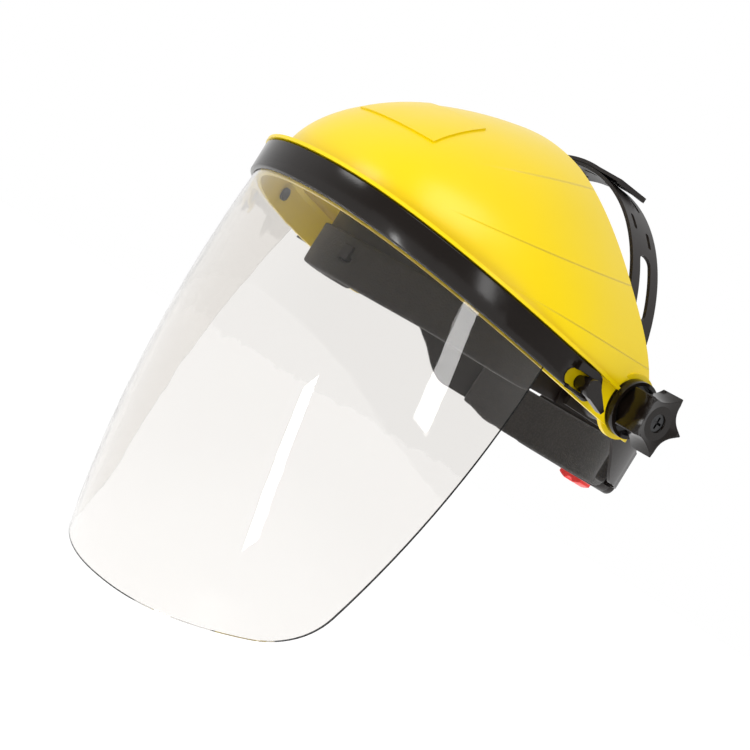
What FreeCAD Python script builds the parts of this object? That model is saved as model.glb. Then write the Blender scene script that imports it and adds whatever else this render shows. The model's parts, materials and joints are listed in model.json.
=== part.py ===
"""Browguard face shield: a yellow crown guard with a clear visor on a ratchet headgear.

Millimetres. +X is the wearer's left, -Y is forward, +Z is up. The origin is the middle of
the tilt axis, which runs along X through the two side knobs.
"""
import FreeCAD, Part
import math
import os
from FreeCAD import Vector

# ---------------------------------------------------------------- driving dimensions
# Rim: the line that the black band follows, a superellipse in plan.
RIM_HALF_WIDTH = 109.2
RIM_REAR_Y = -9.7
RIM_LENGTH = 143.0
RIM_POWER = 2.23
RIM_LOW = -12.8
RIM_SLOPE = -0.0795
RIM_CURVE = 0.00037
BAND_HEIGHT = 15.2
BAND_THICK = 2.3
LENS_THICK = 1.2
SHELL_THICK = 2.5
LAYER_GAP = 0.15

# Crown of the shell: every meridian runs from the rim towards one pole, which the rear cut
# removes. REAR_EDGE is that cut in side view, as (y, z) from above the crown to the ear.
# The brow meridians stand on a ledge and are fuller than those over the ears.
EAR_POLE_Z, BROW_POLE_Z = 100.0, 97.6
EAR_POWER, BROW_POWER = 1.5, 1.8
DOME_END = 0.28
REAR_EDGE = ((-57.0, 103.5), (-47.5, 91.5), (-37.5, 79.5), (-17.0, 49.5), (2.0, 25.0),
             (7.5, 15.0), (12.5, -10.0), (13.2, -20.0))
BEHIND_LENGTH = 100.0
RIM_LIMIT = 105.0
EAR_X = 104.4
EAR_RADIUS = 16.5
EAR_INNER_X = 101.6
EMBLEM_PROUD = 0.9

# Visor
LENS_DROP = 113.3
LENS_BOTTOM_SLOPE = 0.518
LENS_FLARE = 0.10
LENS_BELLY = 0.049
LENS_SET_BACK = 32.3
LENS_EDGE_TOP = (-60.0, -9.0)
LENS_EDGE_LOW = (-80.0, -135.0)
LENS_CORNER_RADIUS = 38.0

# Band ends, latches and studs
TAB_Y = -35.5
TAB_RADIUS = 8.4
LATCH_Y, LATCH_Z = -37.0, -3.0
LATCH_PIN_R = 3.2
LATCH_LEVER = 14.5
LATCH_LEVER_ANGLE = -27.0
STUD_ANGLE = 59.0
RUNNING = 0.1

# Side knobs and pivots
CUP_RADIUS, CUP_DEPTH = 14.2, 5.0
HUB_FLATS = 17.5
STAR_RADIUS, STAR_VALLEY, STAR_DEPTH = 17.0, 10.6, 13.0
STAR_POINTS, STAR_TURN = 5, 74.0
KNOB_LENGTH = 22.8
SCREW_R = 3.0
BLOCK_RADIUS = 11.0
WASHER_RADIUS = 10.5
BLOCK_FACE_X = 100.3

# Headgear ring: an ellipse in front and a squarer curve behind, in plan.
RING_HALF_WIDTH, RING_CENTRE_Y = 77.2, -3.0
RING_FRONT, RING_REAR, RING_REAR_POWER = 98.8, 98.0, 2.35
RING_LOW, RING_SLOPE = -14.7, 0.055
STRAP_THICK = 1.6
NAPE_DROP, NAPE_DROP_Y, NAPE_DROP_RUN = 22.0, 42.0, 34.0

# Crown strap
CROWN_Y, CROWN_WIDTH = 8.0, 22.0
CROWN_HALF_SPAN, CROWN_HEIGHT = 81.3, 93.9
CROWN_THICK = 1.8
CROWN_PINCH = 0.04

# Rear ratchet: one pinion between two straight racks.
PITCH_R, PINION_TEETH = 6.0, 12
RATCHET_Z = -23.5
RACK_LEFT_Y, RACK_RIGHT_Y, RACK_THICK = 95.6, 97.6, 1.6
RACK_HALF, RACK_END_X, NAPE_BEND_X = 10.5, 34.0, 58.0
LOOSEN, TIGHTEN = 15.0, 5.0
HOUSING_HALF = 34.5
RATCHET_KNOB_R, RATCHET_KNOB_DEPTH, RATCHET_LOBES = 18.5, 8.5, 10

MIRROR = {"left": 1, "right": -1}


# ---------------------------------------------------------------- helpers
def spread(low, high, count):
    return [low + (high - low) * i / (count - 1) for i in range(count)]


def ease(value):
    value = min(max(value, 0.0), 1.0)
    return value * value * (3 - 2 * value)


def signed_power(value, power):
    return math.copysign(abs(value) ** power, value)


def spline(points):
    """A smooth curve through evenly numbered points, so that neighbours share their knots."""
    line = Part.BSplineCurve()
    line.interpolate(Points=points, Parameters=spread(0.0, 1.0, len(points)))
    return line


def surface(grid):
    """A smooth surface through rows of points: splines along the rows, then across them."""
    rows = [spline([Vector(*p) for p in row]) for row in grid]
    columns = [spline(list(poles)) for poles in zip(*[row.getPoles() for row in rows])]
    poles = list(zip(*[column.getPoles() for column in columns]))
    along, across = columns[0], rows[0]
    skin = Part.BSplineSurface()
    skin.buildFromPolesMultsKnots(
        poles, along.getMultiplicities(), across.getMultiplicities(),
        along.getKnots(), across.getKnots(), False, False, along.Degree, across.Degree)
    return skin


def closed(faces):
    """A solid from faces that share their edges."""
    skin = Part.makeShell(faces)
    skin.sewShape()
    solid = Part.makeSolid(Part.Shell(skin.Faces))
    if solid.Volume < 0:
        solid.reverse()
    return solid


def panel(outer, inner, us, vs):
    """A closed curved plate between two skins, outer(u, v) and inner(u, v)."""
    skins = [surface([[skin(u, v) for v in vs] for u in us]) for skin in (outer, inner)]
    borders = []
    for skin in skins:
        u0, u1, v0, v1 = skin.bounds()
        isos = (skin.uIso(u0), skin.uIso(u1), skin.vIso(v0), skin.vIso(v1))
        borders.append([iso.toShape() for iso in isos])
    walls = [Part.makeRuledSurface(a, b) for a, b in zip(*borders)]
    return closed([skin.toShape() for skin in skins] + walls)


def polygon(points):
    return Part.Face(Part.makePolygon([Vector(*p) for p in points + points[:1]]))


def rails(sections):
    """Smooth edges that join the matching corners of a row of flat sections."""
    lines = [spline([Vector(*corner) for corner in line]) for line in zip(*sections)]
    return [line.toShape() for line in lines]


def lofted(sections):
    """A solid through flat polygons with the same number of corners."""
    edges = rails(sections)
    sides = [Part.makeRuledSurface(a, b) for a, b in zip(edges, edges[1:] + edges[:1])]
    return closed(sides + [polygon(list(sections[0])), polygon(list(sections[-1]))])


def box(x, y, z):
    return Part.makeBox(x[1] - x[0], y[1] - y[0], z[1] - z[0], Vector(x[0], y[0], z[0]))


def rod(radius, start, end, axis="x", centre=(0.0, 0.0)):
    """A cylinder along x or y. centre is (y, z) for x and (x, z) for y."""
    if axis == "x":
        return Part.makeCylinder(radius, end - start, Vector(start, *centre), Vector(1, 0, 0))
    base = Vector(centre[0], start, centre[1])
    return Part.makeCylinder(radius, end - start, base, Vector(0, 1, 0))


def prism_x(points, start, end):
    """A flat outline of (y, z) corners, extruded along X."""
    wire = Part.makePolygon([Vector(start, *p) for p in points + points[:1]])
    return Part.Face(wire).extrude(Vector(end - start, 0, 0))


def prism_y(points, start, end):
    """A flat outline of (x, z) corners, extruded along Y."""
    corners = [Vector(x, start, z) for x, z in points + points[:1]]
    return Part.Face(Part.makePolygon(corners)).extrude(Vector(0, end - start, 0))


def polar(radius, degrees, centre=(0.0, 0.0)):
    angle = math.radians(degrees)
    return centre[0] + radius * math.cos(angle), centre[1] + radius * math.sin(angle)


def mirrored(shape, side):
    if side == "left":
        return shape
    return shape.mirror(Vector(0, 0, 0), Vector(1, 0, 0))


def joined(shapes):
    whole = shapes[0].fuse(shapes[1:]) if len(shapes) > 1 else shapes[0]
    return whole.removeSplitter()


def group(shapes):
    return Part.makeCompound(shapes)


def save(name, shape):
    if shape.ShapeType == "Compound" and len(shape.Solids) == 1:
        shape = shape.Solids[0]
    shape.exportStep("parts/%s.step" % name)
    print("%-22s %d solids, valid %s, %.0f mm3" % (
        name, len(shape.Solids), shape.isValid(), shape.Volume))


# ---------------------------------------------------------------- rim and dome surfaces
def rim_plan(degrees, inset=0.0):
    """A point of the rim in plan. 0 is the brow, 90 the wearer's left ear."""
    angle, power = math.radians(degrees), 2 / RIM_POWER
    x = (RIM_HALF_WIDTH - inset) * signed_power(math.sin(angle), power)
    reach = RIM_LENGTH if math.cos(angle) > 0 else BEHIND_LENGTH
    y = RIM_REAR_Y - (reach - inset) * signed_power(math.cos(angle), power)
    return x, y


def band_low(y):
    return RIM_LOW + RIM_SLOPE * y + RIM_CURVE * y * y


def band_top(y):
    return band_low(y) + BAND_HEIGHT


LIP_LOW, LIP_HIGH, LIP_PROUD = 0.2, 1.8, 0.5
SKIRT_OUT = BAND_THICK + LENS_THICK + 2 * LAYER_GAP
SKIRT_IN = SKIRT_OUT + SHELL_THICK
SKIRT_BELOW = -0.6
DOME_INSET, BROW_INSET, EAR_INSET = 0.9, 8.0, 3.9
LEDGE_UNDER = -0.8


def brow_share(degrees):
    """1 across the brow, falling to 0 at the temples."""
    return ease((80 - abs(degrees)) / 35)


def blended(ear, brow, degrees):
    return ear + (brow - ear) * brow_share(degrees)


def dome_outer(degrees, v):
    """The crown's outer skin. degrees runs round the rim, v from the rim up to DOME_END."""
    inset = blended(DOME_INSET, BROW_INSET, degrees)
    inset += (EAR_INSET - DOME_INSET) * ease((abs(degrees) - 72) / 20)
    power = blended(EAR_POWER, BROW_POWER, degrees)
    pole_z = blended(EAR_POLE_Z, BROW_POLE_Z, degrees)
    x, y = rim_plan(degrees, inset)
    climb = math.acos(DOME_END ** (power / 2)) * v
    shrink = math.cos(climb) ** (2 / power)
    rise = math.sin(climb) ** (2 / power)
    foot = band_top(y) + LIP_HIGH
    return x * shrink, y * shrink, foot + (pole_z - foot) * rise


def offset_skin(skin, distance):
    """The same skin moved along its own normal, outwards from the head for + values."""
    def moved(u, v):
        du, dv = 0.4, 0.004
        here = Vector(*skin(u, v))
        along = Vector(*skin(u + du, v)) - Vector(*skin(u - du, v))
        up = Vector(*skin(u, min(v + dv, 1))) - Vector(*skin(u, max(v - dv, 0)))
        normal = along.cross(up)
        normal.normalize()
        if normal.dot(here - Vector(0, -40, -30)) < 0:
            normal = normal * -1
        point = here + normal * distance
        return point.x, point.y, point.z
    return moved


def rim_stations(count, limit=90.0):
    return spread(-limit, limit, count)


# ---------------------------------------------------------------- browguard
def rim_corner(degrees, inset, level, lift):
    x, y = rim_plan(degrees, inset)
    return x, y, level(y) + lift


def dome_inner(degrees, v):
    if v == 0:
        inset = blended(SKIRT_IN, BROW_INSET + SHELL_THICK, degrees)
        return rim_corner(degrees, inset, band_top, LIP_HIGH)
    return offset_skin(dome_outer, -SHELL_THICK)(degrees, v)


def moulding():
    """Dome, lip over the band and skirt behind the lens, as one closed wall."""
    stations, rises = rim_stations(49, RIM_LIMIT), spread(0, 1, 13)
    outer = surface([[dome_outer(u, v) for v in rises] for u in stations])
    inner = surface([[dome_inner(u, v) for v in rises] for u in stations])
    sections = []
    for degrees in stations:
        proud = 3.9 * ease((abs(degrees) - 80) / 14) - LIP_PROUD
        sections.append([
            dome_inner(degrees, 0),
            rim_corner(degrees, SKIRT_IN, band_top, LEDGE_UNDER),
            rim_corner(degrees, SKIRT_IN, band_low, SKIRT_BELOW),
            rim_corner(degrees, SKIRT_OUT, band_low, SKIRT_BELOW),
            rim_corner(degrees, SKIRT_OUT, band_top, LIP_LOW),
            rim_corner(degrees, proud, band_top, LIP_LOW),
            rim_corner(degrees, proud, band_top, LIP_HIGH),
            dome_outer(degrees, 0)])
    edges = rails(sections)
    faces = [outer.toShape(), inner.toShape()]
    faces += [Part.makeRuledSurface(a, b) for a, b in zip(edges, edges[1:])]
    faces += [polygon(sections[0]), polygon(sections[-1])]
    u0, u1, v0, v1 = outer.bounds()
    for at in (u0, u1):
        faces.append(Part.makeRuledSurface(outer.uIso(at).toShape(), inner.uIso(at).toShape()))
    faces.append(Part.makeRuledSurface(outer.vIso(v1).toShape(), inner.vIso(v1).toShape()))
    return closed(faces)


def behind_rear_edge():
    """Everything behind the shell's rear edge, for cutting."""
    points = [Vector(-150, *p) for p in REAR_EDGE]
    edge = Part.BSplineCurve()
    edge.interpolate(Points=points)
    corners = [points[-1], Vector(-150, 80, -20), Vector(-150, 80, 130),
               Vector(-150, REAR_EDGE[0][0], 130), points[0]]
    sides = [Part.LineSegment(a, b).toShape() for a, b in zip(corners, corners[1:])]
    return Part.Face(Part.Wire([edge.toShape()] + sides)).extrude(Vector(300, 0, 0))


def shell():
    """Crown guard in one moulding: dome, lip over the band, skirt behind the lens, ears."""
    ears = [rod(EAR_RADIUS, *sorted((side * EAR_INNER_X, side * (EAR_X - 0.2))))
            for side in MIRROR.values()]
    body = moulding().cut(behind_rear_edge()).fuse(ears + [emblem_pad()])
    cuts = []
    for side in MIRROR.values():
        low, high = sorted((side * EAR_X, side * (EAR_X + 12)))
        cuts.append(rod(CUP_RADIUS + 0.8, low, high))
        low, high = sorted((side * 95, side * EAR_INNER_X))
        cuts.append(rod(WASHER_RADIUS + 1.0, low, high))
        low, high = sorted((side * 90, side * 120))
        cuts.append(rod(SCREW_R + 0.4, low, high))
        cuts.append(rod(LATCH_PIN_R + RUNNING, low, high, centre=(LATCH_Y, LATCH_Z)))
        cuts.append(stud_rod(side * STUD_ANGLE, 2.7, -4.0, 12.0))
    return body.cut(cuts)


def emblem_pad():
    """Plain raised rectangle on the brow, with nothing written on it."""
    top = offset_skin(dome_outer, EMBLEM_PROUD)
    below = offset_skin(dome_outer, -SHELL_THICK / 2)
    return panel(top, below, spread(-16.5, 16.5, 9), spread(0.39, 0.65, 6))


def stud_frame(degrees):
    """Middle of the band at an angle, and the direction towards the head."""
    x, y = rim_plan(degrees)
    near, far = rim_plan(degrees - 0.5), rim_plan(degrees + 0.5)
    along = Vector(far[0] - near[0], far[1] - near[1], 0)
    along.normalize()
    inward = Vector(-along.y, along.x, 0)
    return Vector(x, y, band_low(y) + BAND_HEIGHT / 2), inward


def stud_rod(degrees, radius, start, end):
    middle, inward = stud_frame(degrees)
    return Part.makeCylinder(radius, end - start, middle + inward * start, inward)


def band():
    """Black retaining band, one strip with rounded ends and a slot at each for the latch."""
    sections = []
    for degrees in rim_stations(41):
        hook = 0.9 * math.cos(math.radians(degrees)) ** 2
        corners = ((0.0, band_low, 0.6), (0.0, band_top, -0.9), (0.9, band_top, 0.0),
                   (BAND_THICK, band_top, 0.0), (BAND_THICK, band_low, 0.0),
                   (0.7 + hook, band_low, 0.0))
        sections.append([rim_corner(degrees, *corner) for corner in corners])
    strip = lofted(sections)
    middle = (TAB_Y, band_low(TAB_Y) + BAND_HEIGHT / 2)
    cuts = []
    for side in MIRROR.values():
        low, high = sorted((side * 95, side * 115))
        end = box((low, high), (TAB_Y, 0), (-40, 30))
        cuts.append(end.cut(rod(TAB_RADIUS, low - 1, high + 1, centre=middle)))
        cuts += slot_x(low, high, LATCH_Y - 8.5, LATCH_Y + 0.5, LATCH_Z, 4.3)
    trimmed = strip.cut(cuts)
    pads = [tab_pad(side) for side in MIRROR.values()]
    return joined([trimmed] + pads)


def slot_x(low, high, y0, y1, z, radius):
    """Solids that cut an obround along X."""
    return [rod(radius, low, high, centre=(y0, z)), rod(radius, low, high, centre=(y1, z)),
            box((low, high), (y0, y1), (z - radius, z + radius))]


def tab_pad(side):
    """Raised pad round the latch slot."""
    low, high = sorted((side * 106.9, side * 109.3))
    middle = (TAB_Y, band_low(TAB_Y) + BAND_HEIGHT / 2)
    pad = rod(7.0, low, high, centre=middle)
    pad = pad.fuse(box((low, high), (TAB_Y - 12, TAB_Y), (middle[1] - 7.0, middle[1] + 7.0)))
    return pad.cut(slot_x(low - 1, high + 1, LATCH_Y - 8.5, LATCH_Y + 0.5, LATCH_Z, 4.3))


def studs():
    """Two pegs of the band, through the lens and the skirt, with rounded inner heads."""
    pegs = []
    for side in MIRROR.values():
        shank = stud_rod(side * STUD_ANGLE, 2.4, BAND_THICK + 0.1, SKIRT_IN + 1.6)
        head = stud_rod(side * STUD_ANGLE, 3.4, SKIRT_IN + 0.5, SKIRT_IN + 2.2)
        pegs.append(joined([shank, head]))
    return group(pegs)


def lens_skin(inset):
    def skin(degrees, u):
        low = max(u, 0.0)
        scale = 1 + LENS_FLARE * low + LENS_BELLY * 4 * low * (1 - low)
        half = (RIM_HALF_WIDTH - inset)
        reach = (RIM_LENGTH - inset)
        angle, power = math.radians(degrees), 2 / RIM_POWER
        x = half * scale * signed_power(math.sin(angle), power)
        y = RIM_REAR_Y - reach * scale * max(math.cos(angle), 0.0) ** power
        y += LENS_SET_BACK * low
        slope = (1 - low) * RIM_SLOPE + low * LENS_BOTTOM_SLOPE
        z = RIM_LOW + slope * y + RIM_CURVE * (1 - low) * y * y - LENS_DROP * low
        return x, y, z - min(u, 0.0) * 11.5 / 0.1
    return skin


def lens():
    """Clear visor, curved both ways, with rounded lower corners."""
    outer_inset = BAND_THICK + LAYER_GAP
    us = rim_stations(33, 86)
    sheet = panel(lens_skin(outer_inset), lens_skin(outer_inset + LENS_THICK),
                  us, [-0.1] + spread(0, 1, 11))
    top, low = Vector(0, *LENS_EDGE_TOP), Vector(0, *LENS_EDGE_LOW)
    down = low - top
    down.normalize()
    forward = Vector(0, -1, -LENS_BOTTOM_SLOPE)
    forward.normalize()
    base_z = RIM_LOW - LENS_DROP
    # Where the rear edge, carried on down, meets the line of the bottom edge.
    run = (base_z + LENS_BOTTOM_SLOPE * top.y - top.z) / (down.z - LENS_BOTTOM_SLOPE * down.y)
    corner = top + down * run
    half_turn = down.getAngle(forward) / 2
    reach = LENS_CORNER_RADIUS * math.tan(half_turn)
    start, end = corner - down * reach, corner + forward * reach
    towards = (forward - down)
    towards.normalize()
    depth = LENS_CORNER_RADIUS * (1 / math.cos(half_turn) - 1)
    arc = Part.Arc(start, corner + towards * depth, end).toShape()
    upper = top - down * 40
    around = [end, end + forward * 40 + Vector(0, 0, -1), Vector(0, end.y - 40, -260),
              Vector(0, 60, -260), Vector(0, 60, upper.z), upper, start]
    edges = [arc] + [Part.LineSegment(a, b).toShape() for a, b in zip(around, around[1:])]
    trim = Part.Face(Part.Wire(edges))
    trim.translate(Vector(-150, 0, 0))
    trim = trim.extrude(Vector(300, 0, 0))
    holes = [stud_rod(side * STUD_ANGLE, 2.7, 0, 8) for side in MIRROR.values()]
    return sheet.cut([trim] + holes)


def latch():
    """Turn latch on the wearer's left: pin, hub, pointed lever and inner cross bar."""
    centre = (LATCH_Y, LATCH_Z)
    pin = rod(LATCH_PIN_R, 99.2, 111.5, centre=centre)
    collar = rod(4.0, 106.4, 110.2, centre=centre)
    hub = rod(4.6, 110.0, 114.6, centre=centre)
    tip = polar(LATCH_LEVER, LATCH_LEVER_ANGLE, centre)
    side = LATCH_LEVER_ANGLE + 90
    lever = prism_x([polar(4.3, side, centre), polar(1.1, side, tip),
                     polar(1.1, side + 180, tip), polar(4.3, side + 180, centre)], 110.8, 114.6)
    bar_half = 6.0
    bar = prism_x([polar(bar_half, side + a, centre) for a in (-18, 18, 162, 198)], 97.2, 99.4)
    return joined([pin, collar, hub, lever, bar])


# ---------------------------------------------------------------- tilt pivots
def tilt_knob():
    """Star grip on a hexagonal hub that stands in a shallow cup."""
    foot = EAR_X + 0.2
    cup = rod(CUP_RADIUS, foot, foot + CUP_DEPTH)
    cup = cup.cut(rod(CUP_RADIUS - 1.8, foot + 1.8, foot + CUP_DEPTH + 1))
    hex_r = HUB_FLATS / math.sqrt(3)
    hub = prism_x([polar(hex_r, 60 * i + 14) for i in range(6)], foot + 1, foot + 12)
    outer = EAR_X + KNOB_LENGTH
    tips = [polar(STAR_RADIUS, STAR_TURN + 72 * i) for i in range(STAR_POINTS)]
    valleys = [polar(STAR_VALLEY, STAR_TURN + 36 + 72 * i) for i in range(STAR_POINTS)]
    edges = []
    for i in range(STAR_POINTS):
        ends = (tips[i], valleys[i], tips[(i + 1) % STAR_POINTS])
        corners = [Vector(outer - STAR_DEPTH, *p) for p in ends]
        edges.append(Part.Arc(*corners).toShape())
    star = Part.Face(Part.Wire(edges)).extrude(Vector(STAR_DEPTH, 0, 0))
    star = star.common(rod(STAR_RADIUS - 0.9, outer - STAR_DEPTH, outer))
    dish = Part.makeCone(13.5, 8.5, 1.6, Vector(outer, 0, 0), Vector(-1, 0, 0))
    recess = rod(4.6, outer - 5, outer + 1)
    knob = joined([cup, hub, star]).cut([dish, recess])
    return knob.cut(rod(SCREW_R, foot - 1, outer))


def pivot_screw():
    """Clamp screw of a side knob, with a cross recess in its head."""
    outer = EAR_X + KNOB_LENGTH
    head = rod(4.4, outer - 4.8, outer - 2.4)
    shank = rod(SCREW_R, 84.0, outer - 4.6)
    cross = [box((outer - 3.8, outer), (-3.0, 3.0), (-0.6, 0.6)),
             box((outer - 3.8, outer), (-0.6, 0.6), (-3.0, 3.0))]
    return joined([head, shank]).cut(cross)


def pivot_nut():
    """Square nut held in the pivot block."""
    nut = box((86.0, 91.0), (-5, 5), (-5, 5))
    return nut.cut(rod(SCREW_R + RUNNING, 85, 92))


def friction_washer():
    washer = rod(WASHER_RADIUS, 100.4, 101.4)
    return washer.cut(rod(SCREW_R + 0.3, 100, 102))


PEG_PLACES = ((3.0, -9.0), (3.0, 6.0))
PEG_R = 1.8
STACK_X = 83.6


def pivot_block():
    """Block that carries the pivot, with two pegs through the straps behind it."""
    drum = Part.makeCone(13.5, BLOCK_RADIUS, BLOCK_FACE_X - STACK_X,
                         Vector(STACK_X, 0, 0), Vector(1, 0, 0))
    plate = box((STACK_X, STACK_X + 2.4), (-17, 17), (-14, 11))
    pegs = [rod(PEG_R, 75.4, STACK_X + 1, centre=place) for place in PEG_PLACES]
    block = joined([drum, plate] + pegs)
    pocket = box((85.9, 91.1), (-5.1, 5.1), (-5.1, 20))
    return block.cut([pocket, rod(SCREW_R + 0.4, 83.8, 102)])


def peg_caps():
    """Push-on caps on the inner ends of the block's pegs."""
    caps = []
    for side in MIRROR:
        for place in PEG_PLACES:
            caps.append(mirrored(rod(3.4, 73.6, 75.4, centre=place), side))
    return group(caps)


# ---------------------------------------------------------------- headgear straps
def ring_point(degrees, outset=0.0):
    """A point of the headgear ring in plan. 0 is the brow, 90 the left ear, 180 the nape."""
    angle = math.radians(degrees)
    across, along = math.sin(angle), math.cos(angle)
    if along >= 0:
        x = (RING_HALF_WIDTH + outset) * across
        return x, RING_CENTRE_Y - (RING_FRONT + outset) * along
    power = 2 / RING_REAR_POWER
    x = (RING_HALF_WIDTH + outset) * signed_power(across, power)
    return x, RING_CENTRE_Y + (RING_REAR + outset) * abs(along) ** power


def ring_low(y):
    return RING_LOW + RING_SLOPE * y


def ring_wall(degrees, outset_in, outset_out, low, high):
    """Upright quad section of the ring at one angle."""
    section = []
    for outset, level in ((outset_in, low), (outset_out, low),
                          (outset_out, high), (outset_in, high)):
        section.append((*ring_point(degrees, outset), level))
    return section


def brow_rise(degrees):
    return ease((75 - abs(degrees)) / 45)


def headband_low(degrees):
    return ring_low(ring_point(degrees)[1]) + 2.0 * brow_rise(degrees)


def headband():
    """Stiff strip round the brow, taller in the middle, down to the two pivots."""
    sections = []
    for degrees in spread(-97, 97, 41):
        sections.append(ring_wall(degrees, 0, STRAP_THICK, headband_low(degrees),
                                  10.0 + 7.0 * brow_rise(degrees)))
    strip = lofted(sections)
    hook = joined([box((-3.4, 3.4), (-106.6, -101.0), (-10.5, -8.7)),
                   box((-3.4, 3.4), (-108.0, -106.4), (-10.5, -3.4))])
    return joined([strip.cut(peg_holes()), hook])


def peg_holes():
    holes = []
    for side in MIRROR:
        for place in PEG_PLACES:
            holes.append(mirrored(rod(PEG_R + 0.1, 70, 84, centre=place), side))
    return holes


def sweatband():
    """Foam band folded over the headband: tall pad inside, flap outside, fold below."""
    sections = []
    for degrees in spread(-72, 72, 41):
        low = headband_low(degrees) - 2.2
        tall = 11.5 + 8.5 * ease((70 - abs(degrees)) / 40)
        corners = ((-5.0, low), (4.6, low), (4.6, low + 22.0), (2.2, low + 22.0),
                   (2.2, low + 1.7), (-0.5, low + 1.7), (-0.5, tall), (-5.0, tall))
        sections.append([(*ring_point(degrees, outset), z) for outset, z in corners])
    foam = lofted(sections)
    slit = box((-4.0, 4.0), (-108.6, -102.6), (-11.0, -8.2))
    return foam.cut(slit)


def nape_strap(side):
    """Half of the strap behind the head: it drops to the nape and meets the rack there."""
    rack_y = RACK_LEFT_Y if side == "left" else RACK_RIGHT_Y
    half = STRAP_THICK / 2
    sections = []
    for degrees in spread(82, 156, 31):
        y = ring_point(degrees)[1]
        drop = ease((y - NAPE_DROP_Y) / NAPE_DROP_RUN + 0.5)
        narrow = ease((degrees - 128) / 28)
        low = ring_low(y) - NAPE_DROP * drop
        high = 8.0 - 20.5 * ease((y - 14) / 70)
        low += (RATCHET_Z - RACK_HALF - low) * narrow
        high += (RATCHET_Z + RACK_HALF - high) * narrow
        section = []
        for x, along, z in ring_wall(degrees, 1.9, 1.9 + STRAP_THICK, low, high):
            straight = ease((NAPE_BEND_X - x) / (NAPE_BEND_X - RACK_END_X))
            wall = rack_y - half if len(section) in (0, 3) else rack_y + half
            section.append((x, along + (wall - along) * straight, z))
        sections.append(section)
    low, high = RATCHET_Z - RACK_HALF, RATCHET_Z + RACK_HALF
    end = ((rack_y - half, low), (rack_y + half, low), (rack_y + half, high),
           (rack_y - half, high))
    sections.append([(RACK_END_X, *corner) for corner in end])
    strap = lofted(sections)
    return strap.cut([rod(PEG_R + 0.1, 70, 84, centre=place) for place in PEG_PLACES])


def crown_point(degrees, outset=0.0):
    """A point of the crown arch in the x-z plane. 0 is the top, 90 the left foot."""
    angle = math.radians(degrees)
    x = (CROWN_HALF_SPAN + outset) * math.sin(angle) * (1 - CROWN_PINCH * math.cos(angle))
    return x, (CROWN_HEIGHT + outset) * math.cos(angle)


def crown_section(degrees, outset):
    """Cross-section of a crown strap, with its foot carried straight down past 90."""
    y0, y1 = CROWN_Y - CROWN_WIDTH / 2, CROWN_Y + CROWN_WIDTH / 2
    corners = []
    for level, y in ((outset, y0), (outset + CROWN_THICK, y0),
                     (outset + CROWN_THICK, y1), (outset, y1)):
        x, z = crown_point(min(abs(degrees), 90), level)
        corners.append((math.copysign(x, degrees), y, z - max(abs(degrees) - 90, 0)))
    return corners


def crown_slots(cuts):
    """Cutters for slots: (middle angle, y, length, width), each along the arch."""
    solids = []
    for degrees, y, length, width in cuts:
        x, z = crown_point(degrees)
        cutter = Part.makeBox(length, width, 16, Vector(-length / 2, -width / 2, -8))
        cutter = cutter.makeFillet(width * 0.45, [e for e in cutter.Edges
                                                  if abs(e.tangentAt(0).z) > 0.9])
        slope = math.degrees(math.atan2(CROWN_HEIGHT * math.sin(math.radians(degrees)),
                                        CROWN_HALF_SPAN * math.cos(math.radians(degrees))))
        cutter.rotate(Vector(0, 0, 0), Vector(0, 1, 0), slope)
        cutter.translate(Vector(x, y, z))
        solids.append(cutter)
    return solids


SLOT_LENGTH, SLOT_WIDTH = 9.5, 2.6


def crown_strap_left():
    """Lower half of the crown strap, with two staggered rows of slots."""
    strap = lofted([crown_section(d, 0) for d in spread(102, -20, 37)])
    rows = [(a, CROWN_Y - 5, SLOT_LENGTH, SLOT_WIDTH) for a in (-16, 0, 16, 32)]
    rows += [(a, CROWN_Y + 5, SLOT_LENGTH, SLOT_WIDTH) for a in (-11, 5, 21, 37)]
    window = (55.0, CROWN_Y, 34.0, 9.0)
    return strap.cut(crown_slots(rows + [window]) + peg_holes())


def crown_strap_right():
    """Upper half of the crown strap: it laps over the left one and ends in a free tail."""
    gap = CROWN_THICK + 0.3
    sections = []
    for degrees in spread(-102, 6, 33):
        lap = gap * ease((degrees + 60) / 30)
        sections.append(crown_section(degrees, lap))
    arch = lofted(sections)
    x0, z0 = crown_point(6, gap)
    y0, y1 = CROWN_Y - CROWN_WIDTH / 2, CROWN_Y + CROWN_WIDTH / 2
    tail_end = (26.0, z0 - 1.2)
    tail = prism_y([(x0 - 0.2, z0), tail_end, (tail_end[0], tail_end[1] + CROWN_THICK),
                    (x0 - 0.2, z0 + CROWN_THICK)], y0, y1)
    lip = prism_y([(tail_end[0] - 1.2, tail_end[1] - 0.8), (tail_end[0] + 0.6, tail_end[1] - 0.8),
                   (tail_end[0] + 0.6, tail_end[1] + CROWN_THICK),
                   (tail_end[0] - 1.2, tail_end[1] + CROWN_THICK)], y0, y1)
    strap = joined([arch, tail, lip])
    rows = [(a, CROWN_Y - 5, SLOT_LENGTH, SLOT_WIDTH) for a in (-52, -36)]
    rows += [(a, CROWN_Y + 5, SLOT_LENGTH, SLOT_WIDTH) for a in (-47, -31)]
    rows.append((-10.0, CROWN_Y, 22.0, 4.5))
    rows.append((-68.0, CROWN_Y, 18.0, 9.0))
    return strap.cut(crown_slots(rows) + peg_holes())


def crown_pegs():
    """Two moulded pegs of the upper strap, clicked into slots of the lower one."""
    pegs = []
    for degrees, y in ((-16, CROWN_Y - 5), (-11, CROWN_Y + 5)):
        x, z = crown_point(degrees)
        up = Vector(x / CROWN_HALF_SPAN ** 2, 0, z / CROWN_HEIGHT ** 2)
        up.normalize()
        base = Vector(x, y, z) - up * 1.0
        shank = Part.makeCylinder(1.15, CROWN_THICK + 1.2, base, up)
        head = Part.makeCylinder(2.0, 0.9, base - up * 0.8, up)
        pegs.append(joined([shank, head]))
    return group(pegs)


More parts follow.
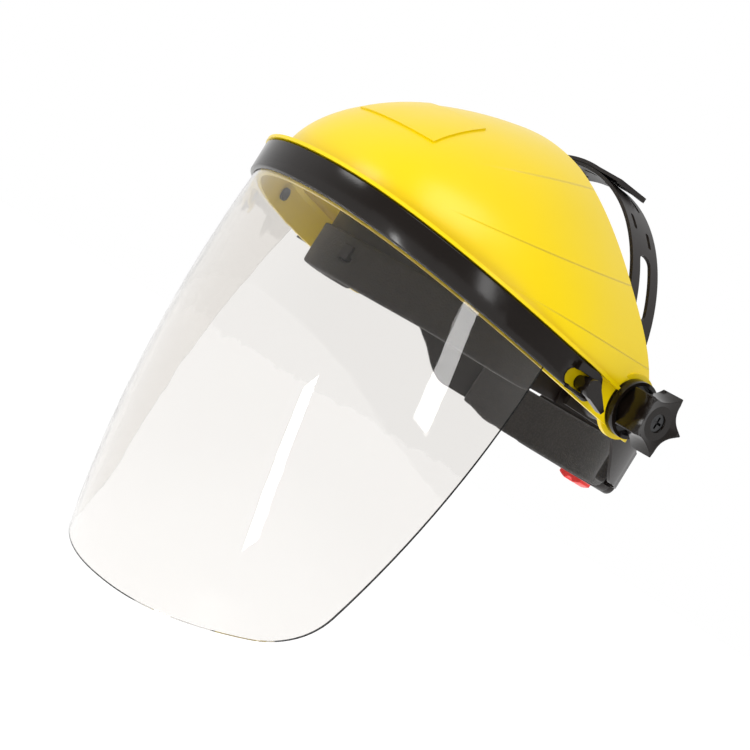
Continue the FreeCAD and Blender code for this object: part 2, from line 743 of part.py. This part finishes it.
# ---------------------------------------------------------------- rear ratchet
def rack(side):
    """Toothed strap end. The left one has its teeth above the pinion, the right one below."""
    sign = MIRROR[side]
    y = RACK_LEFT_Y if side == "left" else RACK_RIGHT_Y
    reach_in, reach_out = TIGHTEN + 9.0, LOOSEN + 9.0
    slot_low, slot_high = -reach_out, reach_in
    plate = box((slot_low - 3, RACK_END_X), (y - RACK_THICK / 2, y + RACK_THICK / 2),
                (RATCHET_Z - RACK_HALF, RATCHET_Z + RACK_HALF))
    pitch = 2 * math.pi * PITCH_R / PINION_TEETH
    root, plain = PITCH_R + 1.15, PITCH_R + 1.6
    slot = box((slot_low, slot_high), (y - 3, y + 3), (RATCHET_Z - plain, RATCHET_Z + root))
    body = plate.cut(slot)
    teeth = []
    count = int((slot_high - slot_low) / pitch)
    first = math.ceil(slot_low / pitch - 0.5)
    for i in range(first, first + count):
        middle = (i + 0.5) * pitch
        if middle - 0.9 < slot_low or middle + 0.9 > slot_high:
            continue
        z = RATCHET_Z + root
        teeth.append(prism_y([(middle - 0.9, z + 0.2), (middle - 0.3, z - 2.0),
                              (middle + 0.3, z - 2.0), (middle + 0.9, z + 0.2)],
                             y - RACK_THICK / 2, y + RACK_THICK / 2))
    body = joined([body] + teeth)
    if sign < 0:
        body = body.rotate(Vector(0, 0, RATCHET_Z), Vector(0, 1, 0), 180)
    return body


def pinion():
    """Twelve-tooth pinion with its shaft, driven by the rear knob."""
    core = rod(PITCH_R - 1.15, 94.6, 98.6, "y", (0, RATCHET_Z))
    teeth = []
    for i in range(PINION_TEETH):
        turn = 90 + 360 * i / PINION_TEETH
        x, z = polar(1.0, turn)
        tooth = []
        for radius, half in ((4.2, 0.85), (PITCH_R + 0.8, 0.3),
                             (PITCH_R + 0.8, -0.3), (4.2, -0.85)):
            tooth.append((radius * x - half * z, RATCHET_Z + radius * z + half * x))
        teeth.append(prism_y(tooth, 94.6, 98.6))
    shaft = rod(3.4, 98.4, 112.0, "y", (0, RATCHET_Z))
    pilot = rod(1.9, 93.2, 94.8, "y", (0, RATCHET_Z))
    return joined([core, shaft, pilot] + teeth)


def rounded_plate(half_x, half_z, y0, y1, radius):
    plate = box((-half_x, half_x), (y0, y1), (RATCHET_Z - half_z, RATCHET_Z + half_z))
    corners = [e for e in plate.Edges if abs(e.tangentAt(0).y) > 0.9]
    return plate.makeFillet(radius, corners)


def ratchet_housing():
    """Front half of the rear case, next to the nape, with the floor of the rack channel."""
    base = rounded_plate(HOUSING_HALF, 15.0, 92.4, 100.2, 5.0)
    channel = box((-40, 40), (94.4, 100.3), (RATCHET_Z - 11.0, RATCHET_Z + 11.0))
    pilot = rod(2.0, 92.9, 95.0, "y", (0, RATCHET_Z))
    return base.cut([channel, pilot])


def ratchet_cover():
    """Rear half of the case: a crowned plate with a collar for the knob."""
    plate = rounded_plate(HOUSING_HALF, 15.0, 100.2, 104.0, 5.0)
    bulge = Part.makeCone(21.0, 17.0, 3.6, Vector(0, 103.9, RATCHET_Z), Vector(0, 1, 0))
    bulge = bulge.common(box((-34, 34), (100, 112), (RATCHET_Z - 15, RATCHET_Z + 15)))
    cover = joined([plate, bulge])
    inner = box((-32.5, 32.5), (100.1, 101.6), (RATCHET_Z - 11, RATCHET_Z + 11))
    return cover.cut([inner, rod(3.5, 95, 112, "y", (0, RATCHET_Z))])


def ratchet_knob():
    """Round adjusting knob with finger scallops, open at the back for its screw."""
    y0 = 108.0
    disc = rod(RATCHET_KNOB_R, y0, y0 + RATCHET_KNOB_DEPTH, "y", (0, RATCHET_Z))
    crown = Part.makeCone(13.0, 10.0, 1.6, Vector(0, y0 + RATCHET_KNOB_DEPTH - 0.1, RATCHET_Z),
                          Vector(0, 1, 0))
    cuts = []
    for i in range(RATCHET_LOBES):
        centre = polar(RATCHET_KNOB_R + 1.2, 360 * (i + 0.5) / RATCHET_LOBES, (0, RATCHET_Z))
        cuts.append(rod(3.2, y0 - 1, y0 + RATCHET_KNOB_DEPTH + 3, "y", centre))
    cuts.append(rod(3.4, y0 - 1, 112.0, "y", (0, RATCHET_Z)))
    cuts.append(rod(1.6, 111.9, y0 + RATCHET_KNOB_DEPTH + 3, "y", (0, RATCHET_Z)))
    cuts.append(rod(4.2, y0 + RATCHET_KNOB_DEPTH - 1.6, y0 + 12, "y", (0, RATCHET_Z)))
    return joined([disc, crown]).cut(cuts)


def ratchet_screw():
    """Screw that holds the rear knob on its shaft."""
    top = 108.0 + RATCHET_KNOB_DEPTH - 0.2
    head = rod(3.9, top - 1.4, top, "y", (0, RATCHET_Z))
    shank = rod(1.6, 112.0, top - 1.3, "y", (0, RATCHET_Z))
    slot = box((-4, 4), (top - 0.7, top + 1), (RATCHET_Z - 0.5, RATCHET_Z + 0.5))
    return joined([head, shank]).cut(slot)


def nape_pad():
    """Soft pad behind the head, inside the rear case and the strap ends."""
    sections = []
    for degrees in spread(134, 226, 31):
        taper = ease((46 - abs(degrees - 180)) / 14)
        low, high = -35.0 - 3.5 * taper, -13.5 + 1.5 * taper
        sections.append(ring_wall(degrees, -6.6, -1.4 - 1.2 * taper, low, high))
    return lofted(sections)


# ---------------------------------------------------------------- write the nodes
def main():
    os.makedirs("parts", exist_ok=True)
    save("brow_shell", shell())
    save("visor_band", band())
    save("band_studs", studs())
    save("visor_lens", lens())
    save("headband", headband())
    save("sweatband", sweatband())
    save("peg_caps", peg_caps())
    save("crown_strap_left", crown_strap_left())
    save("crown_strap_right", crown_strap_right())
    save("crown_pegs", crown_pegs())
    save("ratchet_housing", ratchet_housing())
    save("ratchet_cover", ratchet_cover())
    save("ratchet_pinion", pinion())
    save("ratchet_knob", ratchet_knob())
    save("ratchet_screw", ratchet_screw())
    save("nape_pad", nape_pad())
    for side in MIRROR:
        save("latch_" + side, mirrored(latch(), side))
        save("tilt_knob_" + side, mirrored(tilt_knob(), side))
        save("pivot_screw_" + side, mirrored(pivot_screw(), side))
        save("pivot_nut_" + side, mirrored(pivot_nut(), side))
        save("friction_washer_" + side, mirrored(friction_washer(), side))
        save("pivot_block_" + side, mirrored(pivot_block(), side))
        save("nape_strap_" + side, mirrored(nape_strap(side), side))
        save("rack_" + side, rack(side))


main()
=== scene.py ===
# %% [markdown]
# # A browguard face shield, dressed for its portrait
#
# The CAD parts arrive already in place. This lesson gives them their plastics, swaps the two
# foam pieces for soft ones, puts free copies in place of the four straps, and lights the whole
# on a pale floor.

# %%
import json

import bpy
from mathutils import Matrix, Vector

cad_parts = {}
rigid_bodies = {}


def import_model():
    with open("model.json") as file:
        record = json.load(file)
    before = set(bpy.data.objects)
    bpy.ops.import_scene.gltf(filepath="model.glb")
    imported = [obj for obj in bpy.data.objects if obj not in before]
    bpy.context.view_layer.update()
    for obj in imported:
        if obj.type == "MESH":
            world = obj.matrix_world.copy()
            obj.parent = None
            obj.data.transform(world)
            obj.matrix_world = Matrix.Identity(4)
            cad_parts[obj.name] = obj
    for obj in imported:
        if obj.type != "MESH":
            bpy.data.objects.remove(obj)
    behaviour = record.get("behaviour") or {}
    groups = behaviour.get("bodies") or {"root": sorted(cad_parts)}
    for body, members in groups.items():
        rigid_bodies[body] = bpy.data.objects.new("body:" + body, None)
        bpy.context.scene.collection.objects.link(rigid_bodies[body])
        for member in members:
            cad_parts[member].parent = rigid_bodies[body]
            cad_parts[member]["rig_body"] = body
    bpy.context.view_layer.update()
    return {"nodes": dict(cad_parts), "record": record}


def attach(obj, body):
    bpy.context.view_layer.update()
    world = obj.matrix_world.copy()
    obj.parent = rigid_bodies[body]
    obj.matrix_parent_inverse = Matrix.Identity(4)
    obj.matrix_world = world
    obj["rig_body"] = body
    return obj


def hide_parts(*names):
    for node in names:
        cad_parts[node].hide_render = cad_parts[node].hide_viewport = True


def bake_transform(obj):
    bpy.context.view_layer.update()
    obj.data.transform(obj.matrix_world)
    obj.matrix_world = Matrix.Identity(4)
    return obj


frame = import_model()
bpy.ops.object.select_all(action="DESELECT")
nodes = frame["nodes"]

# %% [markdown]
# ## Shared effects
#
# Each effect is a node group, built once. A small helper opens a group with its sockets.


# %%
def new_group(name, inputs, outputs):
    """An empty shader group. inputs and outputs are {socket name: default or None for a vector}."""
    tree = bpy.data.node_groups.new(name, "ShaderNodeTree")
    for direction, sockets in (("INPUT", inputs), ("OUTPUT", outputs)):
        for label, default in sockets.items():
            kind = "NodeSocketVector" if default is None else "NodeSocketFloat"
            socket = tree.interface.new_socket(name=label, in_out=direction, socket_type=kind)
            if default is not None and direction == "INPUT":
                socket.default_value = default
    entry = tree.nodes.new("NodeGroupInput")
    leave = tree.nodes.new("NodeGroupOutput")
    return tree, entry.outputs, leave.inputs


def add_node(tree, kind, values=None, **settings):
    """A node with its settings; values fills sockets with numbers or links them."""
    node = tree.nodes.new(kind)
    for key, value in settings.items():
        setattr(node, key, value)
    for key, value in (values or {}).items():
        if isinstance(value, bpy.types.NodeSocket):
            tree.links.new(value, node.inputs[key])
        else:
            node.inputs[key].default_value = value
    return node


def math_node(tree, operation, a, b):
    """One arithmetic step on two numbers or sockets. Returns its output."""
    return add_node(tree, "ShaderNodeMath", {0: a, 1: b}, operation=operation).outputs[0]


# %% [markdown]
# **Moulded finish.** Plastic is never perfectly even: its gloss wanders a little and its skin
# has a faint grain. Relief carries any larger shape, in metres.

# %%
finish, given, result = new_group(
    "Moulded finish",
    {"Vector": None, "Roughness": 0.4, "Spread": 0.05, "Grain scale": 900.0,
     "Grain depth": 0.00001, "Relief": 0.0},
    {"Roughness": 0.4, "Normal": None})
drift = add_node(finish, "ShaderNodeTexNoise", {"Vector": given["Vector"], "Scale": 35.0,
                                                "Detail": 3.0})
# The noise strays about a quarter either way, so four times that spans the spread.
centred = math_node(finish, "SUBTRACT", drift.outputs["Fac"], 0.5)
swing = math_node(finish, "MULTIPLY", centred, given["Spread"])
gloss = math_node(finish, "ADD", math_node(finish, "MULTIPLY", swing, 4.0), given["Roughness"])
grain = add_node(finish, "ShaderNodeTexNoise", {"Vector": given["Vector"],
                                                "Scale": given["Grain scale"], "Detail": 2.0})
height = math_node(finish, "MULTIPLY", grain.outputs["Fac"], given["Grain depth"])
height = math_node(finish, "ADD", height, given["Relief"])
bump = add_node(finish, "ShaderNodeBump", {"Strength": 1.0, "Distance": 1.0, "Height": height})
finish.links.new(gloss, result["Roughness"])
finish.links.new(bump.outputs["Normal"], result["Normal"])

# %% [markdown]
# **Crease.** The guard has stepped creases that fan out towards its rear edge, like shingles.
# One runs at z = Base + Slope y + Curve y y. The side below it stands proud, and fades out
# downwards and towards the brow.

# %%
crease, given, result = new_group(
    "Crease",
    {"Vector": None, "Base": 0.05, "Slope": 0.2, "Curve": 0.0, "Start": -0.12,
     "Step": 0.001},
    {"Height": 0.0})
place = add_node(crease, "ShaderNodeSeparateXYZ", {"Vector": given["Vector"]}).outputs
line = math_node(crease, "MULTIPLY", math_node(crease, "MULTIPLY", place["Y"], place["Y"]),
                 given["Curve"])
line = math_node(crease, "ADD", line, math_node(crease, "MULTIPLY", place["Y"], given["Slope"]))
line = math_node(crease, "ADD", line, given["Base"])
below = math_node(crease, "SUBTRACT", line, place["Z"])
edge = add_node(crease, "ShaderNodeMapRange", {"Value": below, "From Min": -0.0004,
                                               "From Max": 0.0006},
                interpolation_type="SMOOTHSTEP").outputs["Result"]
fade = add_node(crease, "ShaderNodeMapRange", {"Value": below, "From Min": 0.0,
                                               "From Max": 0.022, "To Min": 1.0, "To Max": 0.0},
                interpolation_type="SMOOTHSTEP").outputs["Result"]
behind = math_node(crease, "SUBTRACT", place["Y"], given["Start"])
growth = add_node(crease, "ShaderNodeMapRange", {"Value": behind, "From Max": 0.05},
                  interpolation_type="SMOOTHSTEP").outputs["Result"]
step = math_node(crease, "MULTIPLY", math_node(crease, "MULTIPLY", edge, fade), growth)
crease.links.new(math_node(crease, "MULTIPLY", step, given["Step"]), result["Height"])

# %% [markdown]
# ** Foam.** Cells of a fine open foam: dark pits between soft walls, their darkness painted shade.

# %%
foam_cells, given, result = new_group(
    "Foam cells", {"Vector": None, "Scale": 900.0, "Depth": 0.0002}, {"Shade": 1.0,
                                                                      "Height": 0.0})
cells = add_node(foam_cells, "ShaderNodeTexVoronoi", {"Vector": given["Vector"],
                                                      "Scale": given["Scale"]})
# Painted shade: the colour darkens away from each cell's centre into the pits.
shade = add_node(foam_cells, "ShaderNodeMapRange", {"Value": cells.outputs["Distance"],
                                                    "From Max": 0.7, "To Min": 1.0,
                                                    "To Max": 0.45}).outputs["Result"]
foam_cells.links.new(shade, result["Shade"])
foam_cells.links.new(math_node(foam_cells, "MULTIPLY", shade, given["Depth"]),
                     result["Height"])


# %% [markdown]
# ## Materials
#
# Every material reads its own object's coordinates. Colours are linear.

# %%
def new_material(name, colour, roughness, spread=0.03, grain=(900.0, 0.00001), **sockets):
    """Principled plastic with the moulded finish. Returns its tree, shader and coordinates."""
    material = bpy.data.materials.new(name)
    material.use_nodes = True
    tree = material.node_tree
    shader = tree.nodes["Principled BSDF"]
    shader.inputs["Base Color"].default_value = (*colour, 1.0)
    for key, value in sockets.items():
        shader.inputs[key.replace("_", " ")].default_value = value
    where = add_node(tree, "ShaderNodeTexCoord").outputs["Object"]
    skin = add_node(tree, "ShaderNodeGroup", node_tree=finish)
    tree.links.new(where, skin.inputs["Vector"])
    skin.inputs["Roughness"].default_value = roughness
    skin.inputs["Spread"].default_value = spread
    skin.inputs["Grain scale"].default_value, skin.inputs["Grain depth"].default_value = grain
    tree.links.new(skin.outputs["Roughness"], shader.inputs["Roughness"])
    tree.links.new(skin.outputs["Normal"], shader.inputs["Normal"])
    return material, tree, shader, where, skin


yellow, tree, _, where, skin = new_material("Safety yellow", (0.70, 0.51, 0.0), 0.32,
                                            Specular_IOR_Level=0.3)
# From the top crease to the lowest one.
creases = ({"Base": 0.0872, "Slope": 0.140, "Curve": -1.27, "Start": -0.112},
           {"Base": 0.0525, "Slope": 0.176, "Curve": 0.0, "Start": -0.128},
           {"Base": 0.0204, "Slope": 0.045, "Curve": 0.0, "Start": -0.098})
relief = 0.0
for shape in creases:
    rise = add_node(tree, "ShaderNodeGroup", node_tree=crease)
    tree.links.new(where, rise.inputs["Vector"])
    for key, value in shape.items():
        rise.inputs[key].default_value = value
    relief = math_node(tree, "ADD", rise.outputs["Height"], relief)
tree.links.new(relief, skin.inputs["Relief"])

gloss_black = new_material("Gloss black", (0.006, 0.004, 0.003), 0.16,
                           Specular_IOR_Level=0.3)[0]
satin_black = new_material("Satin black", (0.013, 0.010, 0.009), 0.40,
                           grain=(1500.0, 0.00004), Specular_IOR_Level=0.22)[0]
red = new_material("Adjuster red", (0.72, 0.018, 0.012), 0.32)[0]
steel = new_material("Black oxide steel", (0.06, 0.06, 0.062), 0.28, Metallic=1.0)[0]
clear = new_material("Clear sheet", (0.86, 0.84, 0.815), 0.02, spread=0.004,
                     grain=(60.0, 0.000002), Transmission_Weight=1.0, IOR=1.5)[0]

foam, tree, shader, where, skin = new_material("Foam", (0.026, 0.022, 0.020), 0.85,
                                               Sheen_Weight=0.1)
pores = add_node(tree, "ShaderNodeGroup", node_tree=foam_cells)
tree.links.new(where, pores.inputs["Vector"])
# The pits' painted shade darkens the foam colour towards near black.
pit_shaded_foam_colour = add_node(tree, "ShaderNodeMix", {"Factor": pores.outputs["Shade"]}, data_type="RGBA")
pit_shaded_foam_colour.inputs["A"].default_value = (0.005, 0.0045, 0.004, 1.0)
pit_shaded_foam_colour.inputs["B"].default_value = shader.inputs["Base Color"].default_value
tree.links.new(pit_shaded_foam_colour.outputs["Result"], shader.inputs["Base Color"])
tree.links.new(pores.outputs["Height"], skin.inputs["Relief"])


# %% [markdown]
# ## Dressing the CAD parts
#
# A piece takes its finish from its material slot in the record.

# %%
finishes = {"shell_yellow": yellow, "gloss_black": gloss_black, "matte_black": satin_black,
            "foam_grey": foam, "knob_red": red, "screw_steel": steel, "clear_visor": clear}


def paint(piece, material):
    piece.data.materials.clear()
    piece.data.materials.append(material)


for entry in frame["record"]["subparts"]:
    paint(nodes[entry["node"]], finishes[entry["material_slot"]])


# %% [markdown]
# Real mouldings have no knife edges. Doubled vertices are welded, then sharp edges rounded.

# %%
EDGE_WIDTH, SHARP_ANGLE, WELD_REACH = 0.0004, 0.6, 0.00001


def soften(piece):
    """Welds the piece's facets together and rounds its sharp edges."""
    weld = piece.modifiers.new("Weld", "WELD")
    weld.merge_threshold = WELD_REACH
    bevel = piece.modifiers.new("Rounded edges", "BEVEL")
    bevel.width = EDGE_WIDTH
    bevel.segments = 2
    bevel.limit_method = "ANGLE"
    bevel.angle_limit = SHARP_ANGLE
    bevel.use_clamp_overlap = True


for name in ("visor_band", "headband", "ratchet_cover", "ratchet_housing", "ratchet_knob",
             "latch_left", "latch_right", "tilt_knob_left", "tilt_knob_right"):
    soften(nodes[name])

# %% [markdown]
# ## Straps
#
# The halves of the crown strap run between the ring and the crown, and each nape strap runs
# between the ring and the rack that draws it into the rear case. Each is swapped for a free copy
# with its placement baked into the mesh.

# %%
def copy_of(name):
    """A free copy of a CAD node, which stands for it from here on."""
    piece = bpy.data.objects.new(name + "_look", nodes[name].data.copy())
    bpy.context.scene.collection.objects.link(piece)
    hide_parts(name)
    return piece


for side, reach in (("left", 1), ("right", -1)):
    strap = copy_of("crown_strap_" + side)
    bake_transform(strap)
    strap = copy_of("nape_strap_" + side)
    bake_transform(strap)


# %% [markdown]
# ## Foam
#
# The sweatband folds round the front of the ring, and a pad lines the rear case. Both are
# remeshed finely and relaxed, which rounds their edges as cut and moulded foam is.

# %%
def soft_piece(name, voxel, relax):
    """Replaces a CAD foam with a fine remesh of voxel metres, relaxed relax times."""
    piece = copy_of(name)
    bpy.ops.object.select_all(action="DESELECT")
    piece.select_set(True)
    bpy.context.view_layer.objects.active = piece
    remesh = piece.modifiers.new("Remesh", "REMESH")
    remesh.mode = "VOXEL"
    remesh.voxel_size = voxel
    relaxed = piece.modifiers.new("Relax", "SMOOTH")
    relaxed.factor = 0.5
    relaxed.iterations = relax
    for modifier in ("Remesh", "Relax"):
        bpy.ops.object.modifier_apply(modifier=modifier)
    bpy.ops.object.shade_smooth()
    paint(piece, foam)
    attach(piece, nodes[name]["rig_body"])


soft_piece("sweatband", 0.0009, 10)
soft_piece("nape_pad", 0.001, 16)

# %% [markdown]
# ## Stage, light and camera
#
# A pale floor runs out to a white surround. Large soft boxes draw the highlights.

# %%
bpy.ops.mesh.primitive_plane_add(size=60.0, location=(0.0, 0.0, -0.62))
floor = bpy.context.active_object
floor.name = "Floor"
pale = bpy.data.materials.new("Pale floor")
pale.use_nodes = True
matt = pale.node_tree.nodes["Principled BSDF"]
for key, value in (("Base Color", (0.96, 0.96, 0.96, 1.0)), ("Roughness", 0.9),
                   ("Specular IOR Level", 0.0), ("Emission Color", (1.0, 1.0, 1.0, 1.0)),
                   ("Emission Strength", 0.3)):
    matt.inputs[key].default_value = value
paint(floor, pale)

# The room is white behind the object and dimmer on the camera's side, so black plastic
# stays black.
world = bpy.data.worlds.new("Studio")
bpy.context.scene.world = world
world.use_nodes = True
background = world.node_tree.nodes["Background"]
background.inputs["Color"].default_value = (1.0, 1.0, 1.0, 1.0)
sight = add_node(world.node_tree, "ShaderNodeTexCoord").outputs["Generated"]
facing = add_node(world.node_tree, "ShaderNodeVectorMath", {0: sight, 1: (0.73, -0.68, 0.0)},
                  operation="DOT_PRODUCT").outputs["Value"]
dim = add_node(world.node_tree, "ShaderNodeMapRange", {"Value": facing, "From Min": -0.2,
                                                       "From Max": 0.7, "To Min": 1.0,
                                                       "To Max": 0.4}).outputs["Result"]
world.node_tree.links.new(dim, background.inputs["Strength"])


MIDDLE = Vector((0.0, -0.06, -0.05))


def soft_box(name, place, width, height, power, upright=(0.0, 0.0, 1.0)):
    """A rectangular area light that faces the object, with its long side along upright."""
    bpy.ops.object.light_add(type="AREA", location=place)
    lamp = bpy.context.active_object
    lamp.name = name
    lamp.data.shape = "RECTANGLE"
    lamp.data.size = width
    lamp.data.size_y = height
    lamp.data.energy = power
    behind = (Vector(place) - MIDDLE).normalized()
    across = Vector(upright).cross(behind).normalized()
    axes = Matrix((across, behind.cross(across), behind)).transposed().to_4x4()
    lamp.matrix_world = Matrix.Translation(Vector(place)) @ axes


soft_box("Key", (0.9, -1.1, 1.4), 1.2, 1.2, 23.0)
soft_box("Side", (1.55, -0.52, 0.25), 0.24, 0.5, 2.2)
soft_box("Brow", (-0.6, -1.5, 0.6), 0.5, 0.5, 6.0)
# A narrow strip draws the long streak down the front of the visor.
soft_box("Streak", (0.42, -1.0, -0.31), 0.09, 0.42, 2.0, upright=(-0.385, -0.351, 0.852))

# %% [markdown]
# The camera looks from the wearer's left front, rolled so that the brow drops to the left.

# %%
camera_data = bpy.data.cameras.new("Camera")
camera = bpy.data.objects.new("Camera", camera_data)
bpy.context.scene.collection.objects.link(camera)
camera_data.sensor_width = 36.0
camera_data.lens = 115.15
right = Vector((0.5840, 0.6202, 0.5237))
up = Vector((-0.3550, -0.3850, 0.8518))
back = Vector((0.7299, -0.6834, -0.0047))
turn = Matrix((right, up, back)).transposed().to_4x4()
camera.matrix_world = Matrix.Translation(Vector((0.8466, -0.8430, -0.0542))) @ turn
bpy.context.scene.camera = camera
bpy.context.scene.view_settings.view_transform = "Standard"
